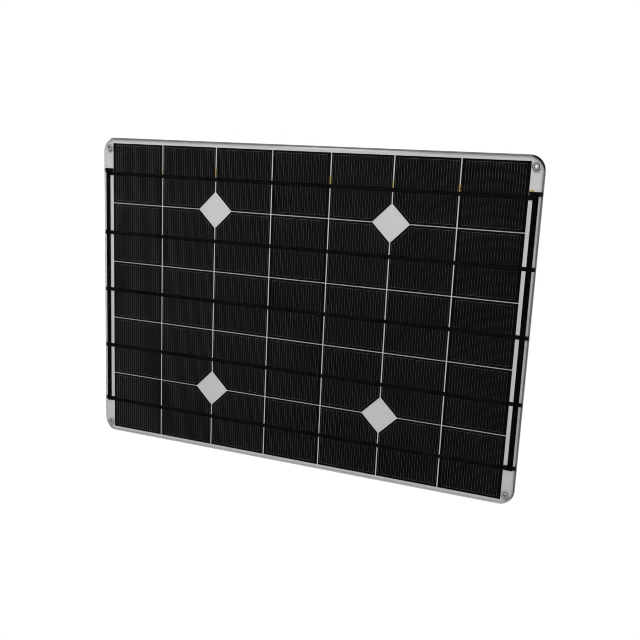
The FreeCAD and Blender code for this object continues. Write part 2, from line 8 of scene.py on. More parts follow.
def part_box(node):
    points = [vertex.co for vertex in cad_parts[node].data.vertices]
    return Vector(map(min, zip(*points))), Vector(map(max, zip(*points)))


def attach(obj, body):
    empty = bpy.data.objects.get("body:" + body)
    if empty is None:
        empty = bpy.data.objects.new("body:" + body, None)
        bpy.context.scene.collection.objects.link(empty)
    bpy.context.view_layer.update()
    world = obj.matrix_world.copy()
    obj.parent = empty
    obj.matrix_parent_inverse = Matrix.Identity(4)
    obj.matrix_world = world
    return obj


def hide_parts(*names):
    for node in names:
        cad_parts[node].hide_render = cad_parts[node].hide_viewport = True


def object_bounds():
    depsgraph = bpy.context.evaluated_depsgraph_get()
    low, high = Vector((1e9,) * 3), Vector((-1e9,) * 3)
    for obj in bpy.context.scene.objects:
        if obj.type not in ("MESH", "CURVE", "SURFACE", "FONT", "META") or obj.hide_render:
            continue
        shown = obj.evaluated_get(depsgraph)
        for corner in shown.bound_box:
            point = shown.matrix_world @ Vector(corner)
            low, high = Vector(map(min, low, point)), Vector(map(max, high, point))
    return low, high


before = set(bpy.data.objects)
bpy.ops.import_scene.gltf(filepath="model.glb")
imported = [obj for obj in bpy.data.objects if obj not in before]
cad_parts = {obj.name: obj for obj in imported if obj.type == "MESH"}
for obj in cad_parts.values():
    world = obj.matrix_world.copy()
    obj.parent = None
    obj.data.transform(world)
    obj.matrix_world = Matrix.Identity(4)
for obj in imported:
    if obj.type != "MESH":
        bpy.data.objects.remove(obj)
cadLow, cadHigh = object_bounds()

mm = 0.001
rng = random.Random(7)
noiseLow, noiseHigh = 0.3, 0.7      # most of a noise texture lies between these
print("frame loaded:", len(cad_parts), "nodes")


def addNode(tree, kind, **settings):
    node = tree.nodes.new(kind)
    for key, value in settings.items():
        if hasattr(node, key):
            setattr(node, key, value)
        else:
            node.inputs[key.replace("_", " ")].default_value = value
    return node


def joinNodes(tree, *pairs):
    for source, target in pairs:
        tree.links.new(source, target)


def mathNode(tree, operation, first, second=None, clamp=False):
    node = addNode(tree, "ShaderNodeMath", operation=operation, use_clamp=clamp)
    for place, value in enumerate((first, second)):
        if value is None:
            continue
        if isinstance(value, (int, float)):
            node.inputs[place].default_value = value
        else:
            tree.links.new(value, node.inputs[place])
    return node.outputs[0]


def mapValue(tree, value, low, high, toLow=0.0, toHigh=1.0, smooth=False):
    node = addNode(tree, "ShaderNodeMapRange",
                   interpolation_type="SMOOTHSTEP" if smooth else "LINEAR")
    for name, number in (("From Min", low), ("From Max", high), ("To Min", toLow),
                         ("To Max", toHigh)):
        node.inputs[name].default_value = number
    tree.links.new(value, node.inputs["Value"])
    return node.outputs["Result"]


def mixColour(tree, factor, first, second):
    node = addNode(tree, "ShaderNodeMix", data_type="RGBA")
    for socket, value in ((node.inputs[0], factor), (node.inputs[6], first),
                          (node.inputs[7], second)):
        if isinstance(value, bpy.types.NodeSocket):
            tree.links.new(value, socket)
        elif isinstance(value, (int, float)):
            socket.default_value = value
        else:
            socket.default_value = (*value, 1.0)
    return node.outputs[2]


def newMaterial(name):
    material = bpy.data.materials.new(name)
    material.use_nodes = True
    tree = material.node_tree
    tree.nodes.clear()
    output = tree.nodes.new("ShaderNodeOutputMaterial")
    place = tree.nodes.new("ShaderNodeTexCoord").outputs["Object"]
    return material, tree, output, place


def principled(tree, output, **inputs):
    node = tree.nodes.new("ShaderNodeBsdfPrincipled")
    for key, value in inputs.items():
        node.inputs[key.replace("_", " ")].default_value = value
    tree.links.new(node.outputs[0], output.inputs["Surface"])
    return node


def placeGroup(tree, group, place, **values):
    node = tree.nodes.new("ShaderNodeGroup")
    node.node_tree = group
    tree.links.new(place, node.inputs["Place"])
    for key, value in values.items():
        node.inputs[key.replace("_", " ")].default_value = value
    return node


def bumpFrom(tree, height, shader, strength, distance):
    bump = addNode(tree, "ShaderNodeBump", Strength=strength, Distance=distance)
    joinNodes(tree, (height, bump.inputs["Height"]),
              (bump.outputs["Normal"], shader.inputs["Normal"]))


def newGroup(name, inputs, outputs):
    group = bpy.data.node_groups.new(name, "ShaderNodeTree")
    group.interface.new_socket("Place", in_out="INPUT", socket_type="NodeSocketVector")
    for label, value in inputs.items():
        socket = group.interface.new_socket(label, in_out="INPUT",
                                            socket_type="NodeSocketFloat")
        socket.default_value = value
    for label in outputs:
        group.interface.new_socket(label, in_out="OUTPUT", socket_type="NodeSocketFloat")
    return group, group.nodes.new("NodeGroupInput"), group.nodes.new("NodeGroupOutput")


def finishPiece(name, mesh, material, smooth=False):
    if isinstance(mesh, bmesh.types.BMesh):
        data = bpy.data.meshes.new(name)
        mesh.to_mesh(data)
        mesh.free()
        mesh = data
    piece = bpy.data.objects.new(name, mesh)
    bpy.context.scene.collection.objects.link(piece)
    mesh.materials.append(material)
    if smooth:
        for face in mesh.polygons:
            face.use_smooth = True
    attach(piece, "panel")
    return piece


def dress(nodeNames, material):
    for nodeName in nodeNames:
        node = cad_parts[nodeName]
        for place in range(len(node.material_slots)):
            node.material_slots[place].material = material


coverLow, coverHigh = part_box("clear_cover")
halfWidth = (coverHigh[0] - coverLow[0]) / 2
halfHeight = (coverHigh[2] - coverLow[2]) / 2
cornerRadius = 12 * mm
cellBoxes = {(row, column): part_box(f"cell_r{row}_c{column}")
             for row in range(1, 6) for column in range(1, 8)}
cellFront = cellBoxes[1, 1][0][1]


def makeEdgeDistance():
    # how far a point lies inside the panel's rounded outline, in metres
    group, start, end = newGroup("edgeDistance", {}, ["Inside"])
    apart = group.nodes.new("ShaderNodeSeparateXYZ")
    group.links.new(start.outputs["Place"], apart.inputs[0])
    flatX = mathNode(group, "ABSOLUTE", apart.outputs["X"])
    flatZ = mathNode(group, "ABSOLUTE", apart.outputs["Z"])
    overX = mathNode(group, "SUBTRACT", flatX, halfWidth - cornerRadius)
    overZ = mathNode(group, "SUBTRACT", flatZ, halfHeight - cornerRadius)
    cornerX = mathNode(group, "MAXIMUM", overX, 0.0)
    cornerZ = mathNode(group, "MAXIMUM", overZ, 0.0)
    squares = mathNode(group, "ADD", mathNode(group, "MULTIPLY", cornerX, cornerX),
                       mathNode(group, "MULTIPLY", cornerZ, cornerZ))
    reach = mathNode(group, "SQRT", squares)
    straight = mathNode(group, "MINIMUM", mathNode(group, "MAXIMUM", overX, overZ), 0.0)
    outside = mathNode(group, "ADD", reach, straight)
    group.links.new(mathNode(group, "SUBTRACT", cornerRadius, outside), end.inputs["Inside"])
    return group


def makeGrain():
    # a moulded or coated surface: fine grain for bump, and slow patches for colour
    group, start, end = newGroup("grain", {"Grain Scale": 3000.0, "Patch Scale": 25.0},
                                 ["Grain", "Patches"])
    fine = addNode(group, "ShaderNodeTexNoise", Detail=3.0, Roughness=0.6)
    slow = addNode(group, "ShaderNodeTexNoise", Detail=4.0, Roughness=0.55)
    joinNodes(group, (start.outputs["Place"], fine.inputs["Vector"]),
              (start.outputs["Place"], slow.inputs["Vector"]),
              (start.outputs["Grain Scale"], fine.inputs["Scale"]),
              (start.outputs["Patch Scale"], slow.inputs["Scale"]),
              (fine.outputs["Fac"], end.inputs["Grain"]),
              (slow.outputs["Fac"], end.inputs["Patches"]))
    return group


def makeBrushed():
    # long fine streaks along X, as rolling leaves them, and a few deeper scratches
    group, start, end = newGroup("brushed", {"Streak Scale": 1800.0, "Stretch": 0.02},
                                 ["Streaks", "Scratches"])
    stretch = group.nodes.new("ShaderNodeCombineXYZ")
    stretch.inputs["Y"].default_value = stretch.inputs["Z"].default_value = 1.0
    squeezed = addNode(group, "ShaderNodeVectorMath", operation="MULTIPLY")
    streaks = addNode(group, "ShaderNodeTexNoise", Detail=2.0, Roughness=0.5)
    scratches = addNode(group, "ShaderNodeTexNoise", Scale=260.0, Detail=1.0)
    joinNodes(group, (start.outputs["Stretch"], stretch.inputs["X"]),
              (start.outputs["Place"], squeezed.inputs[0]),
              (stretch.outputs[0], squeezed.inputs[1]),
              (squeezed.outputs[0], streaks.inputs["Vector"]),
              (squeezed.outputs[0], scratches.inputs["Vector"]),
              (start.outputs["Streak Scale"], streaks.inputs["Scale"]),
              (streaks.outputs["Fac"], end.inputs["Streaks"]))
    deep = mapValue(group, scratches.outputs["Fac"], 0.68, 0.74)
    group.links.new(deep, end.inputs["Scratches"])
    return group


def makeDust():
    # thin settled dust: speckles gathered in loose clouds
    group, start, end = newGroup("dust", {"Amount": 0.3}, ["Dust"])
    clouds = addNode(group, "ShaderNodeTexNoise", Scale=14.0, Detail=5.0, Roughness=0.65)
    specks = addNode(group, "ShaderNodeTexNoise", Scale=900.0, Detail=2.0, Roughness=0.7)
    joinNodes(group, (start.outputs["Place"], clouds.inputs["Vector"]),
              (start.outputs["Place"], specks.inputs["Vector"]))
    cloud = mapValue(group, clouds.outputs["Fac"], 0.42, 0.7, smooth=True)
    speck = mapValue(group, specks.outputs["Fac"], 0.5, 0.72)
    both = mathNode(group, "MULTIPLY", cloud, speck)
    group.links.new(mathNode(group, "MULTIPLY", both, start.outputs["Amount"]),
                    end.inputs["Dust"])
    return group


edgeDistance, grain, brushed, dust = makeEdgeDistance(), makeGrain(), makeBrushed(), makeDust()
print("shared effects built")


dustColour = (0.36, 0.34, 0.31)
coverLook = {"rimWidth": 1.45 * mm, "rimFade": 0.15 * mm, "rimShadeTint": (0.84, 0.84, 0.84),
             "rimGloss": 0.33, "slopeWidth": 2.7 * mm, "slopeFade": 0.1 * mm, "slopeGloss": 0.16,
             "clear": (0.988, 0.988, 0.988), "cornerWidth": 1.7 * mm, "cornerFade": 0.4,
             "cornerShadeTint": (0.06, 0.055, 0.055), "cornerFrom": 1.0, "cornerFull": 1.2,
             "smearRange": (0.3, 0.75), "roughness": (0.06, 0.14), "IOR": 1.45,
             "mirrorTint": (0.96, 0.97, 0.97, 1.0)}


def makeCoverClear():
    material, tree, output, place = newMaterial("coverClear")
    inside = placeGroup(tree, edgeDistance, place).outputs["Inside"]
    rim = mapValue(tree, inside, coverLook["rimWidth"],
                   coverLook["rimWidth"] - coverLook["rimFade"])
    slope = mapValue(tree, inside, coverLook["slopeWidth"],
                     coverLook["slopeWidth"] - coverLook["slopeFade"])
    ripple = addNode(tree, "ShaderNodeTexNoise", Scale=35.0, Detail=2.0)
    smears = addNode(tree, "ShaderNodeTexNoise", Scale=9.0, Detail=5.0, Roughness=0.6)
    joinNodes(tree, (place, ripple.inputs["Vector"]), (place, smears.inputs["Vector"]))
    bump = addNode(tree, "ShaderNodeBump", Strength=0.12, Distance=0.2 * mm)
    tree.links.new(ripple.outputs["Fac"], bump.inputs["Height"])
    through = tree.nodes.new("ShaderNodeBsdfTransparent")
    # painted shade: a grey band along the rim dims what is seen through it, where the rounded
    # clear edge would bend the light away
    rimShaded = mixColour(tree, rim, coverLook["clear"], coverLook["rimShadeTint"])
    # a nearly black painted shade on the rim at one corner, standing in for where the polished
    # edge sends the light away
    apart = tree.nodes.new("ShaderNodeSeparateXYZ")
    tree.links.new(place, apart.inputs[0])
    diagonal = mathNode(tree, "ADD", apart.outputs["X"], apart.outputs["Z"])
    fullCorner = halfWidth + halfHeight - 2 * cornerRadius
    nearCorner = mapValue(tree, diagonal, fullCorner + coverLook["cornerFrom"] * cornerRadius,
                          fullCorner + coverLook["cornerFull"] * cornerRadius, smooth=True)
    edge = mapValue(tree, inside, coverLook["cornerWidth"],
                    coverLook["cornerFade"] * coverLook["cornerWidth"])
    black = mathNode(tree, "MULTIPLY", nearCorner, edge)
    tree.links.new(mixColour(tree, black, rimShaded, coverLook["cornerShadeTint"]),
                   through.inputs["Color"])
    gloss = tree.nodes.new("ShaderNodeBsdfGlossy")
    gloss.inputs["Color"].default_value = coverLook["mirrorTint"]
    tree.links.new(mapValue(tree, smears.outputs["Fac"], *coverLook["smearRange"],
                            *coverLook["roughness"]), gloss.inputs["Roughness"])
    tree.links.new(bump.outputs[0], gloss.inputs["Normal"])
    fresnel = addNode(tree, "ShaderNodeFresnel", IOR=coverLook["IOR"])
    tree.links.new(bump.outputs[0], fresnel.inputs["Normal"])
    edges = mathNode(tree, "ADD", mathNode(tree, "MULTIPLY", rim, coverLook["rimGloss"]),
                     mathNode(tree, "MULTIPLY", slope, coverLook["slopeGloss"]))
    # only outer faces mirror: an inner face would turn back all slanting light
    outer = mathNode(tree, "SUBTRACT", 1.0, tree.nodes.new("ShaderNodeNewGeometry")
                     .outputs["Backfacing"])
    share = mathNode(tree, "MULTIPLY", mathNode(tree, "ADD", fresnel.outputs[0], edges), outer,
                     clamp=True)
    mix = tree.nodes.new("ShaderNodeMixShader")
    joinNodes(tree, (share, mix.inputs[0]), (through.outputs[0], mix.inputs[1]),
              (gloss.outputs[0], mix.inputs[2]), (mix.outputs[0], output.inputs["Surface"]))
    return material


filmLook = {"clear": (0.985, 0.985, 0.98), "yellowed": (0.97, 0.968, 0.955), "patch": 18.0}


def makeFilmClear():
    # clear film, very slightly yellowed in patches
    material, tree, output, place = newMaterial("filmClear")
    haze = addNode(tree, "ShaderNodeTexNoise", Scale=filmLook["patch"], Detail=4.0)
    tree.links.new(place, haze.inputs["Vector"])
    through = tree.nodes.new("ShaderNodeBsdfTransparent")
    amount = mapValue(tree, haze.outputs["Fac"], noiseLow, noiseHigh)
    tree.links.new(mixColour(tree, amount, filmLook["clear"], filmLook["yellowed"]),
                   through.inputs["Color"])
    tree.links.new(through.outputs[0], output.inputs["Surface"])
    return material


siliconLook = {"dark": (0.0008, 0.0007, 0.0008), "warm": (0.0026, 0.0011, 0.0015),
               "cool": (0.0010, 0.0010, 0.0012), "roughness": (0.30, 0.38), "pitch": 53.1 * mm,
               "grain": 5200.0, "patch": 30.0, "warmFrom": 0.45, "bump": 0.04}


def makeSilicon():
    material, tree, output, place = newMaterial("silicon")
    shader = principled(tree, output, Specular_IOR_Level=0.4, IOR=1.5)
    # each cell is a little different, since cells come from different wafers
    cellStep = addNode(tree, "ShaderNodeVectorMath", operation="DIVIDE")
    cellStep.inputs[1].default_value = (siliconLook["pitch"], 1.0, siliconLook["pitch"])
    cellShift = addNode(tree, "ShaderNodeVectorMath", operation="ADD")
    cellShift.inputs[1].default_value = (0.5, 0.0, 0.5)
    cellNumber = addNode(tree, "ShaderNodeVectorMath", operation="FLOOR")
    cellTone = addNode(tree, "ShaderNodeTexWhiteNoise", noise_dimensions="3D")
    joinNodes(tree, (place, cellStep.inputs[0]), (cellStep.outputs[0], cellShift.inputs[0]),
              (cellShift.outputs[0], cellNumber.inputs[0]),
              (cellNumber.outputs[0], cellTone.inputs["Vector"]))
    texture = placeGroup(tree, grain, place, Grain_Scale=siliconLook["grain"],
                         Patch_Scale=siliconLook["patch"])
    patches = mapValue(tree, texture.outputs["Patches"], noiseLow, noiseHigh)
    warmth = mapValue(tree, cellTone.outputs["Value"], siliconLook["warmFrom"], 1.0)
    base = mixColour(tree, patches, siliconLook["dark"], siliconLook["cool"])
    tree.links.new(mixColour(tree, warmth, base, siliconLook["warm"]),
                   shader.inputs["Base Color"])
    tree.links.new(mapValue(tree, texture.outputs["Patches"], noiseLow, noiseHigh,
                            *siliconLook["roughness"]), shader.inputs["Roughness"])
    bumpFrom(tree, texture.outputs["Grain"], shader, siliconLook["bump"], 0.02 * mm)
    return material


silverLook = {"thin": (0.21, 0.21, 0.212), "thick": (0.31, 0.31, 0.312),
              "roughness": (0.45, 0.65)}


def makeGridSilver():
    # fired silver paste, duller than metal because it is porous
    material, tree, output, place = newMaterial("gridSilver")
    shader = principled(tree, output, Metallic=0.3)
    texture = placeGroup(tree, grain, place, Grain_Scale=9000.0, Patch_Scale=45.0)
    tone = mapValue(tree, texture.outputs["Patches"], noiseLow, noiseHigh)
    tree.links.new(mixColour(tree, tone, silverLook["thin"], silverLook["thick"]),
                   shader.inputs["Base Color"])
    tree.links.new(mapValue(tree, texture.outputs["Grain"], noiseLow, noiseHigh,
                            *silverLook["roughness"]), shader.inputs["Roughness"])
    return material


paintSpread, plasticSpread = 0.12, 0.14    # how much rougher the roughest spots are


def makeBlackPaint(name, colour, worn, roughness, scale):
    # black enamel or printed polyester, faintly uneven
    material, tree, output, place = newMaterial(name)
    shader = principled(tree, output, Specular_IOR_Level=0.08)
    texture = placeGroup(tree, grain, place, Grain_Scale=scale, Patch_Scale=60.0)
    tone = mapValue(tree, texture.outputs["Patches"], 0.35, 0.75)
    tree.links.new(mixColour(tree, tone, colour, worn), shader.inputs["Base Color"])
    rougher = roughness + paintSpread
    tree.links.new(mapValue(tree, texture.outputs["Grain"], noiseLow, noiseHigh, roughness,
                            rougher), shader.inputs["Roughness"])
    bumpFrom(tree, texture.outputs["Patches"], shader, 0.3, 0.05 * mm)
    return material


sheetLook = {"shade": (0.825, 0.825, 0.825), "white": (0.86, 0.86, 0.86),
             "roughness": (0.45, 0.6)}


def makeBacksheet():
    # satin white polymer film, a little uneven in its white
    material, tree, output, place = newMaterial("backsheet")
    shader = principled(tree, output, Specular_IOR_Level=0.3)
    texture = placeGroup(tree, grain, place, Grain_Scale=2600.0, Patch_Scale=12.0)
    tone = mapValue(tree, texture.outputs["Patches"], noiseLow, noiseHigh)
    tree.links.new(mixColour(tree, tone, sheetLook["shade"], sheetLook["white"]),
                   shader.inputs["Base Color"])
    tree.links.new(mapValue(tree, texture.outputs["Grain"], noiseLow, noiseHigh,
                            *sheetLook["roughness"]), shader.inputs["Roughness"])
    bumpFrom(tree, texture.outputs["Grain"], shader, 0.06, 0.03 * mm)
    return material


metalLook = {"smoother": 0.06, "rougher": 0.08, "scratch": 0.12}


def makeMetal(name, colour, bright, roughness, scale=1800.0, stretch=0.02, bump=0.15,
              dustAmount=0.15):
    material, tree, output, place = newMaterial(name)
    shader = principled(tree, output, Metallic=1.0)
    lines = placeGroup(tree, brushed, place, Streak_Scale=scale, Stretch=stretch)
    patches = placeGroup(tree, grain, place, Grain_Scale=1500.0, Patch_Scale=22.0)
    settled = placeGroup(tree, dust, place, Amount=dustAmount)
    tone = mapValue(tree, lines.outputs["Streaks"], noiseLow, noiseHigh)
    clean = mixColour(tree, tone, colour, bright)
    tree.links.new(mixColour(tree, settled.outputs["Dust"], clean, dustColour),
                   shader.inputs["Base Color"])
    soft = mapValue(tree, patches.outputs["Patches"], noiseLow, noiseHigh,
                    roughness - metalLook["smoother"], roughness + metalLook["rougher"])
    scratched = mathNode(tree, "MULTIPLY", lines.outputs["Scratches"], metalLook["scratch"])
    rough = mathNode(tree, "ADD", soft, scratched)
    tree.links.new(mathNode(tree, "ADD", rough, settled.outputs["Dust"], clamp=True),
                   shader.inputs["Roughness"])
    bumpFrom(tree, lines.outputs["Streaks"], shader, bump, 0.02 * mm)
    return material


eyeletFlange = 2.9 * mm
eyeletLook = {"x": 188.0 * mm, "z": 129.0 * mm, "bright": (0.66, 0.66, 0.66),
              "dull": (0.50, 0.50, 0.50), "line": (0.035, 0.034, 0.035),
              "lineWidth": 0.75 * mm, "mouth": 1.1 * mm, "mouthWidth": 0.55 * mm,
              "leastShadeAndGrime": 0.25, "mostShadeAndGrime": 1.0, "lineFade": 0.4,
              "roughness": (0.28, 0.42)}


def makeEyelet():
    # satin nickel, with a dark line round the flange and a dark mouth to the bore: painted shade
    # in this crease and hollow, with some grime
    material, tree, output, place = newMaterial("eyeletNickel")
    shader = principled(tree, output, Metallic=0.25)
    texture = placeGroup(tree, grain, place, Grain_Scale=2600.0, Patch_Scale=260.0)
    apart = tree.nodes.new("ShaderNodeSeparateXYZ")
    tree.links.new(place, apart.inputs[0])
    offs = [mathNode(tree, "SUBTRACT", mathNode(tree, "ABSOLUTE", apart.outputs[axis]),
                     eyeletLook[axis.lower()]) for axis in ("X", "Z")]
    squares = [mathNode(tree, "MULTIPLY", off, off) for off in offs]
    radius = mathNode(tree, "SQRT", mathNode(tree, "ADD", *squares))
    rim = mapValue(tree, radius, eyeletFlange - eyeletLook["lineWidth"],
                   eyeletFlange - eyeletLook["lineFade"] * eyeletLook["lineWidth"], smooth=True)
    mouth = mapValue(tree, radius, eyeletLook["mouth"] + eyeletLook["mouthWidth"],
                     eyeletLook["mouth"], smooth=True)
    # the painted shade and grime grow stronger towards the upper right corner
    diagonal = mathNode(tree, "ADD", apart.outputs["X"], apart.outputs["Z"])
    upperRightAmount = mapValue(tree, diagonal, -eyeletLook["x"], eyeletLook["x"] + eyeletLook["z"],
                    eyeletLook["leastShadeAndGrime"], eyeletLook["mostShadeAndGrime"])
    tone = mapValue(tree, texture.outputs["Patches"], noiseLow, noiseHigh)
    nickel = mixColour(tree, tone, eyeletLook["dull"], eyeletLook["bright"])
    # painted shade, with some grime, in the line round the flange and in the mouth of the bore
    shadeAndGrime = mathNode(tree, "MULTIPLY", mathNode(tree, "MAXIMUM", rim, mouth), upperRightAmount)
    tree.links.new(mixColour(tree, shadeAndGrime, nickel, eyeletLook["line"]),
                   shader.inputs["Base Color"])
    tree.links.new(mapValue(tree, texture.outputs["Grain"], noiseLow, noiseHigh,
                            *eyeletLook["roughness"]), shader.inputs["Roughness"])
    bumpFrom(tree, texture.outputs["Patches"], shader, 0.15, 0.05 * mm)
    return material


def makeMoulded(name, colour, worn, roughness, grainScale, dustAmount, bump=0.35):
    # moulded plastic or rubber with its spark-eroded grain and some dust
    material, tree, output, place = newMaterial(name)
    shader = principled(tree, output, Specular_IOR_Level=0.45)
    texture = placeGroup(tree, grain, place, Grain_Scale=grainScale, Patch_Scale=40.0)
    settled = placeGroup(tree, dust, place, Amount=dustAmount)
    tone = mapValue(tree, texture.outputs["Patches"], noiseLow, noiseHigh)
    plain = mixColour(tree, tone, colour, worn)
    tree.links.new(mixColour(tree, settled.outputs["Dust"], plain, dustColour),
                   shader.inputs["Base Color"])
    soft = mapValue(tree, texture.outputs["Grain"], noiseLow, noiseHigh, roughness,
                    roughness + plasticSpread)
    tree.links.new(mathNode(tree, "ADD", soft, settled.outputs["Dust"], clamp=True),
                   shader.inputs["Roughness"])
    bumpFrom(tree, texture.outputs["Grain"], shader, bump, 0.05 * mm)
    return material


diodeLook = {"bodyEnd": 4.52 * mm, "band": (2.0 * mm, 3.2 * mm), "black": (0.018, 0.018, 0.019),
             "worn": (0.030, 0.030, 0.031), "grey": (0.45, 0.45, 0.46), "tin": (0.62, 0.61, 0.58),
             "roughness": (0.3, 0.42)}


def makeDiode():
    material, tree, output, place = newMaterial("diodeEpoxy")
    shader = principled(tree, output)
    apart = tree.nodes.new("ShaderNodeSeparateXYZ")
    tree.links.new(place, apart.inputs[0])
    # the grey cathode band, and bare metal where the leads leave the body
    band = mathNode(tree, "MULTIPLY",
                    mathNode(tree, "GREATER_THAN", apart.outputs["X"], diodeLook["band"][0]),
                    mathNode(tree, "LESS_THAN", apart.outputs["X"], diodeLook["band"][1]))
    lead = mathNode(tree, "GREATER_THAN", mathNode(tree, "ABSOLUTE", apart.outputs["X"]),
                    diodeLook["bodyEnd"])
    texture = placeGroup(tree, grain, place, Grain_Scale=4000.0, Patch_Scale=200.0)
    tone = mapValue(tree, texture.outputs["Patches"], noiseLow, noiseHigh)
    body = mixColour(tree, tone, diodeLook["black"], diodeLook["worn"])
    banded = mixColour(tree, band, body, diodeLook["grey"])
    tree.links.new(mixColour(tree, lead, banded, diodeLook["tin"]),
                   shader.inputs["Base Color"])
    tree.links.new(lead, shader.inputs["Metallic"])
    tree.links.new(mapValue(tree, texture.outputs["Grain"], noiseLow, noiseHigh,
                            *diodeLook["roughness"]), shader.inputs["Roughness"])
    return material


def makeFlux(name, thin, thick):
    # glassy rosin, darker where it is thick
    material, tree, output, place = newMaterial(name)
    shader = principled(tree, output, IOR=1.5)
    tone = addNode(tree, "ShaderNodeTexNoise", Scale=500.0, Detail=2.0)
    tree.links.new(place, tone.inputs["Vector"])
    tree.links.new(mixColour(tree, mapValue(tree, tone.outputs["Fac"], 0.35, 0.65), thin, thick),
                   shader.inputs["Base Color"])
    tree.links.new(mapValue(tree, tone.outputs["Fac"], noiseLow, noiseHigh, 0.2, 0.35),
                   shader.inputs["Roughness"])
    return material


coverClear, filmClear, silicon = makeCoverClear(), makeFilmClear(), makeSilicon()
gridSilver, backsheet = makeGridSilver(), makeBacksheet()
ribbonBlack = makeBlackPaint("ribbonBlack", (0.0048, 0.0047, 0.0048), (0.0068, 0.0066, 0.0068),
                             0.5, 2500.0)
maskBlack = makeBlackPaint("maskBlack", (0.0020, 0.0020, 0.0020), (0.0034, 0.0034, 0.0035),
                           0.55, 4000.0)
tinned = makeMetal("tinnedCopper", (0.56, 0.56, 0.55), (0.70, 0.69, 0.66), 0.38)
aluminium = makeMetal("rolledAluminium", (0.60, 0.61, 0.62), (0.74, 0.75, 0.76), 0.34,
                      2200.0, 0.012, 0.22, 0.5)
eyeletNickel = makeEyelet()
pinSteel = makeMetal("pinSteel", (0.50, 0.50, 0.50), (0.66, 0.66, 0.66), 0.28, 2600.0, 0.1)
zincScrew = makeMetal("zincScrew", (0.52, 0.54, 0.56), (0.68, 0.69, 0.68), 0.3, 1500.0, 0.5)
brass = makeMetal("terminalBrass", (0.55, 0.40, 0.16), (0.70, 0.54, 0.26), 0.3, 1600.0, 0.05)
boxPlastic = makeMoulded("boxPlastic", (0.014, 0.014, 0.015), (0.022, 0.022, 0.023), 0.42,
                         2800.0, 0.35)
lidPlastic = makeMoulded("lidPlastic", (0.015, 0.015, 0.016), (0.024, 0.024, 0.025), 0.45,
                         2200.0, 0.45)
glandNylon = makeMoulded("glandNylon", (0.016, 0.016, 0.017), (0.025, 0.025, 0.026), 0.34,
                         4500.0, 0.25, 0.2)
rubber = makeMoulded("rubber", (0.028, 0.028, 0.029), (0.045, 0.044, 0.043), 0.62, 3500.0, 0.3)
sealant = makeMoulded("sealant", (0.020, 0.020, 0.020), (0.034, 0.034, 0.033), 0.36, 900.0,
                      0.2, 0.5)
diodeEpoxy = makeDiode()
fluxPale = makeFlux("fluxPale", (0.66, 0.58, 0.28), (0.54, 0.40, 0.09))
fluxDark = makeFlux("fluxDark", (0.030, 0.019, 0.003), (0.075, 0.048, 0.006))
print("materials built:", len(bpy.data.materials))

dress([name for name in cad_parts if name.startswith("cell_")], silicon)
dress([f"row_{row}_ribbons" for row in range(1, 6)], ribbonBlack)
dress(["bus_masks"], maskBlack)
dress(["bus_links", "output_leads"], tinned)
dress(["clear_cover"], coverClear)
dress(["white_backsheet", "rear_encapsulant"], backsheet)
dress(["backing_plate"], aluminium)
dress(["corner_eyelets"], eyeletNickel)
dress(["box_adhesive_pad"], sealant)
dress(["junction_box_base"], boxPlastic)
dress(["junction_box_lid"], lidPlastic)
dress(["lid_hinge_pin"], pinSteel)
dress(["lid_gasket", "gland_seal"], rubber)
dress(["terminal_plates"], brass)
dress(["terminal_screws"], zincScrew)
dress(["bypass_diode"], diodeEpoxy)
dress(["gland_body", "gland_nut"], glandNylon)
print("frame nodes dressed")


film = {"gap": 0.01 * mm, "inset": 0.15 * mm, "cornerSegments": 10, "facesBack": 0.9}


def makeFilm():
    # the clear film over the cells; it is open where it is bonded to the white film behind,
    # since no boundary can be seen there
    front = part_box("front_encapsulant")[0][1] + film["gap"]
    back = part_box("front_encapsulant")[1][1] - film["gap"]
    middle = Matrix.Translation((0.0, (front + back) / 2, 0.0))
    size = Matrix.Diagonal((2 * (halfWidth - film["inset"]), back - front,
                            2 * (halfHeight - film["inset"]), 1.0))
    bm = bmesh.new()
    bmesh.ops.create_cube(bm, size=1.0, matrix=middle @ size)
    corners = [edge for edge in bm.edges
               if abs(edge.verts[0].co.y - edge.verts[1].co.y) > film["gap"]]
    bmesh.ops.bevel(bm, geom=corners, offset=cornerRadius - film["inset"],
                    segments=film["cornerSegments"], profile=0.5, affect="EDGES", material=-1)
    bonded = [face for face in bm.faces if face.normal.y > film["facesBack"]]
    bmesh.ops.delete(bm, geom=bonded, context="FACES_ONLY")
    piece = finishPiece("clearFilm", bm, filmClear)
    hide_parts("front_encapsulant")


makeFilm()
print("film laid")


grid = {"pitch": 2.26 * mm, "lineWidth": 0.13 * mm, "lineHeight": 0.018 * mm,
        "borderInset": 1.9 * mm, "sideInset": 0.9 * mm, "cutCorner": 15.0 * mm,
        "cornerColumns": (2, 5), "cornerRows": (1, 4)}


def addLine(bm, start, end):
    # one raised bar of silver paste from start to end, given as (x, z)
    run = Vector((end[0] - start[0], 0.0, end[1] - start[1]))
    middle = Vector(((start[0] + end[0]) / 2, cellFront - grid["lineHeight"] / 2,
                     (start[1] + end[1]) / 2))
    turn = Matrix.Rotation(math.atan2(-run.z, run.x), 4, "Y")
    size = Matrix.Diagonal((run.length, grid["lineHeight"], grid["lineWidth"], 1.0))
    bmesh.ops.create_cube(bm, size=1.0, matrix=Matrix.Translation(middle) @ turn @ size)


def cutCorners(row, column):
    # which corners of a cell are cut: (right?, top?)
    found = set()
    for right in (False, True):
        for top in (False, True):
            columnLine = column if right else column - 1
            rowLine = row - 1 if top else row
            if columnLine in grid["cornerColumns"] and rowLine in grid["cornerRows"]:
                found.add((right, top))
    return found


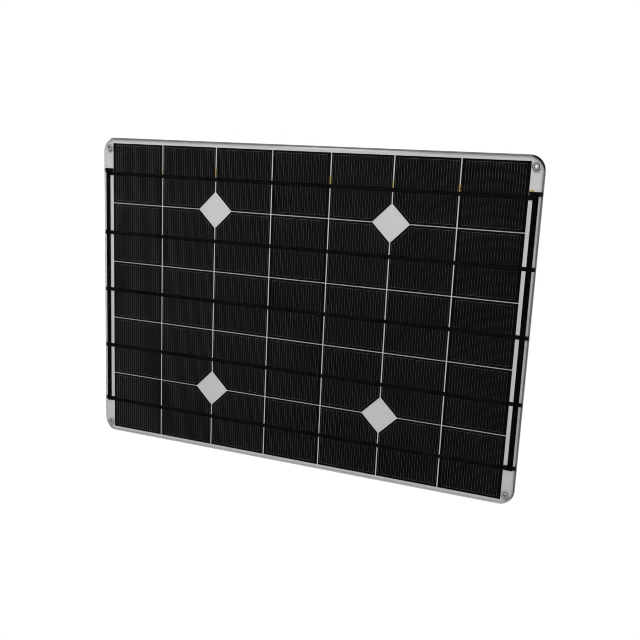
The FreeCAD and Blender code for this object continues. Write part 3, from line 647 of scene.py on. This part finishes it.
def drawGrid(bm, row, column):
    low, high = cellBoxes[row, column]
    inset = grid["borderInset"]
    left, right = low[0] + grid["sideInset"], high[0] - grid["sideInset"]
    bottom, top = low[2] + inset, high[2] - inset
    cut = cutCorners(row, column)
    # the border follows a cut corner at the same distance as it keeps from the edges
    slant = grid["cutCorner"] + inset * (math.sqrt(2.0) - 1.0)

    def span(x, isTop):
        edge = top if isTop else bottom
        for isRight in (False, True):
            if (isRight, isTop) in cut:
                fromCorner = (high[0] - x) if isRight else (x - low[0])
                if fromCorner < slant:
                    drop = slant - fromCorner
                    return edge - drop if isTop else edge + drop
        return edge

    middle = (low[0] + high[0]) / 2
    count = int((right - left) / grid["pitch"] / 2)
    for step in range(-count, count + 1):
        x = middle + step * grid["pitch"]
        addLine(bm, (x, span(x, False)), (x, span(x, True)))
    first, last = middle - count * grid["pitch"], middle + count * grid["pitch"]
    for isTop in (False, True):
        edge = top if isTop else bottom
        startX = low[0] + slant if (False, isTop) in cut else first
        endX = high[0] - slant if (True, isTop) in cut else last
        addLine(bm, (startX, edge), (endX, edge))
        if (False, isTop) in cut:
            addLine(bm, (first, span(first, isTop)), (startX, edge))
        if (True, isTop) in cut:
            addLine(bm, (endX, edge), (last, span(last, isTop)))


for row in range(1, 6):
    bm = bmesh.new()
    for column in range(1, 8):
        drawGrid(bm, row, column)
    finishPiece(f"gridLinesRow{row}", bm, gridSilver)
print("grid lines printed")


# each gap's flux: half height, and how far it creeps over the cells on each side
fluxSpots = {"gaps": {1: (1.8, 0.3), 2: (4.2, 0.2), 3: (1.0, 0.2), 4: (3.3, 0.7),
                      5: (3.4, 0.3), 6: (3.1, 0.8)},
             "rise": 0.9, "thick": 0.04 * mm, "ragged": 0.05 * mm, "overlap": 0.8,
             "ribbonDrop": 0.5 * mm, "smearOut": 2.0 * mm, "smearSize": (2.2 * mm, 1.3 * mm)}


def addBlob(bm, centre, halfX, halfZ):
    size = Matrix.Diagonal((halfX, fluxSpots["thick"], halfZ, 1.0))
    made = bmesh.ops.create_icosphere(bm, subdivisions=3, radius=1.0,
                                      matrix=Matrix.Translation(centre) @ size)
    for vert in made["verts"]:
        vert.co.x += rng.uniform(-1.0, 1.0) * fluxSpots["ragged"]
        vert.co.z += rng.uniform(-2.0, 2.0) * fluxSpots["ragged"]


def makeFluxResidue():
    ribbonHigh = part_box("row_2_ribbons")[1][2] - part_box("row_2_ribbons")[0][2]
    ribbonTop = ((cellBoxes[1, 4][0][2] + cellBoxes[1, 4][1][2]) / 2 - fluxSpots["ribbonDrop"]
                 + ribbonHigh / 2)
    pale, dark = bmesh.new(), bmesh.new()
    onCells = cellFront - fluxSpots["thick"]
    for gap, (halfTall, creep) in fluxSpots["gaps"].items():
        halfTall, creep = halfTall * mm, creep * mm
        left, right = cellBoxes[1, gap][1][0], cellBoxes[1, gap + 1][0][0]
        height = ribbonTop + halfTall * fluxSpots["rise"]
        addBlob(pale, Vector(((left + right) / 2, cellFront + fluxSpots["thick"], height)),
                (right - left) / 2, halfTall)
        for side in (left - creep * fluxSpots["overlap"], right + creep * fluxSpots["overlap"]):
            addBlob(dark, Vector((side, onCells, height)), creep, halfTall)
    # and a smear on the white margin beside the last cell
    lastRight = cellBoxes[1, 7][1][0]
    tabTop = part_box("bus_masks")[1][2]
    addBlob(pale, Vector((lastRight + fluxSpots["smearOut"], cellFront + fluxSpots["thick"],
                          tabTop)), *fluxSpots["smearSize"])
    finishPiece("fluxPale", pale, fluxPale, smooth=True)
    finishPiece("fluxDark", dark, fluxDark, smooth=True)


makeFluxResidue()
print("flux added")


studio = {"floorDrop": 0.16, "floorSize": 30.0, "ambient": 0.28,
          "keyPlace": (-0.08, -0.70, 0.85), "keySize": 0.5, "keyPower": 7.3,
          "rearPlace": (1.6, 1.3, 0.9), "rearSize": 1.2, "rearPower": 14.0}
# what shiny surfaces mirror, by direction: each wall or box of light with its brightness
mirror = {"base": 0.02, "leftFrom": -0.70, "leftFull": -0.90, "leftLight": 1.65,
          "groundFrom": -0.60, "groundFull": -0.85, "groundLight": 0.5,
          "ceilingFrom": 0.82, "ceilingFull": 0.95, "ceilingLight": 0.9,
          "behindFrom": 0.2, "behindFull": 0.7, "behindLight": 0.45,
          "stripX": -0.35, "stripZ": 0.33, "stripLight": 1.5,
          "stripWide": (0.11, 0.02), "stripTall": (0.17, 0.06)}


def makeFloor():
    bm = bmesh.new()
    bmesh.ops.create_grid(bm, x_segments=1, y_segments=1, size=studio["floorSize"] / 2,
                          matrix=Matrix.Translation((0, 0, cadLow[2] - studio["floorDrop"])))
    data = bpy.data.meshes.new("floor")
    bm.to_mesh(data)
    bm.free()
    floor = bpy.data.objects.new("floor", data)
    bpy.context.scene.collection.objects.link(floor)
    material, tree, output, place = newMaterial("floorPale")
    seen = tree.nodes.new("ShaderNodeLightPath").outputs["Is Camera Ray"]
    glow = addNode(tree, "ShaderNodeEmission", Strength=1.0)
    glow.inputs["Color"].default_value = (1.0, 1.0, 1.0, 1.0)
    matt = tree.nodes.new("ShaderNodeBsdfDiffuse")
    matt.inputs["Color"].default_value = (0.75, 0.75, 0.75, 1.0)
    mix = tree.nodes.new("ShaderNodeMixShader")
    joinNodes(tree, (seen, mix.inputs[0]), (matt.outputs[0], mix.inputs[1]),
              (glow.outputs[0], mix.inputs[2]), (mix.outputs[0], output.inputs["Surface"]))
    data.materials.append(material)
    floor.visible_glossy = False


def makeWorld():
    world = bpy.data.worlds.new("studio")
    bpy.context.scene.world = world
    world.cycles.sampling_method = "NONE"     # so that shiny surfaces see only their own walls
    world.use_nodes = True
    tree = world.node_tree
    tree.nodes.clear()
    output = tree.nodes.new("ShaderNodeOutputWorld")
    way = tree.nodes.new("ShaderNodeTexCoord").outputs["Generated"]
    apart = tree.nodes.new("ShaderNodeSeparateXYZ")
    tree.links.new(way, apart.inputs[0])
    lights = []
    for wall, axis in (("left", "X"), ("ground", "Z"), ("ceiling", "Z"), ("behind", "Y")):
        lights.append(mapValue(tree, apart.outputs[axis], mirror[wall + "From"],
                               mirror[wall + "Full"], 0.0, mirror[wall + "Light"], smooth=True))
    offX = mathNode(tree, "ABSOLUTE", mathNode(tree, "SUBTRACT", apart.outputs["X"],
                                               mirror["stripX"]))
    offZ = mathNode(tree, "ABSOLUTE", mathNode(tree, "SUBTRACT", apart.outputs["Z"],
                                               mirror["stripZ"]))
    strip = mathNode(tree, "MULTIPLY", mapValue(tree, offX, *mirror["stripWide"], smooth=True),
                     mapValue(tree, offZ, *mirror["stripTall"], 0.0, mirror["stripLight"],
                              smooth=True))
    inFront = mathNode(tree, "LESS_THAN", apart.outputs["Y"], 0.0)
    lights.append(mathNode(tree, "MULTIPLY", strip, inFront))
    mirrored = mathNode(tree, "ADD", lights[0], mirror["base"])
    for light in lights[1:]:
        mirrored = mathNode(tree, "ADD", mirrored, light)
    paths = tree.nodes.new("ShaderNodeLightPath")
    glossy = addNode(tree, "ShaderNodeBackground")
    tree.links.new(mirrored, glossy.inputs["Strength"])
    ambient = addNode(tree, "ShaderNodeBackground", Strength=studio["ambient"])
    white = addNode(tree, "ShaderNodeBackground", Strength=1.0)
    for background in (glossy, ambient, white):
        background.inputs["Color"].default_value = (1.0, 1.0, 1.0, 1.0)
    first = tree.nodes.new("ShaderNodeMixShader")
    second = tree.nodes.new("ShaderNodeMixShader")
    joinNodes(tree, (paths.outputs["Is Glossy Ray"], first.inputs[0]),
              (ambient.outputs[0], first.inputs[1]), (glossy.outputs[0], first.inputs[2]),
              (paths.outputs["Is Camera Ray"], second.inputs[0]),
              (first.outputs[0], second.inputs[1]), (white.outputs[0], second.inputs[2]),
              (second.outputs[0], output.inputs["Surface"]))


def makeLamp(name, place, size, power):
    data = bpy.data.lights.new(name, "AREA")
    data.size, data.energy = size, power
    lamp = bpy.data.objects.new(name, data)
    bpy.context.scene.collection.objects.link(lamp)
    lamp.location = place
    lamp.rotation_euler = (-Vector(place)).to_track_quat("-Z", "Y").to_euler()
    return lamp


cameraView = {"place": (0.26634, -0.62586, 0.12824), "turn": -21.357, "tilt": -11.321,
              "roll": 2.601, "lens": 45.593}


def makeCamera():
    data = bpy.data.cameras.new("camera")
    data.sensor_width, data.lens = 36.0, cameraView["lens"]
    camera = bpy.data.objects.new("camera", data)
    bpy.context.scene.collection.objects.link(camera)
    turn = (Matrix.Rotation(math.radians(-cameraView["turn"]), 4, "Z")
            @ Matrix.Rotation(math.radians(90.0 + cameraView["tilt"]), 4, "X")
            @ Matrix.Rotation(math.radians(cameraView["roll"]), 4, "Z"))
    camera.matrix_world = Matrix.Translation(cameraView["place"]) @ turn
    bpy.context.scene.camera = camera


makeFloor()
makeWorld()
keyLamp = makeLamp("keyLamp", studio["keyPlace"], studio["keySize"], studio["keyPower"])
keyLamp.visible_glossy = False
makeLamp("rearLamp", studio["rearPlace"], studio["rearSize"], studio["rearPower"])
makeCamera()
bpy.context.scene.view_settings.view_transform = "Standard"
bpy.context.scene.cycles.filter_width = 1.0      # keeps the thin silver lines crisp
print("studio ready")
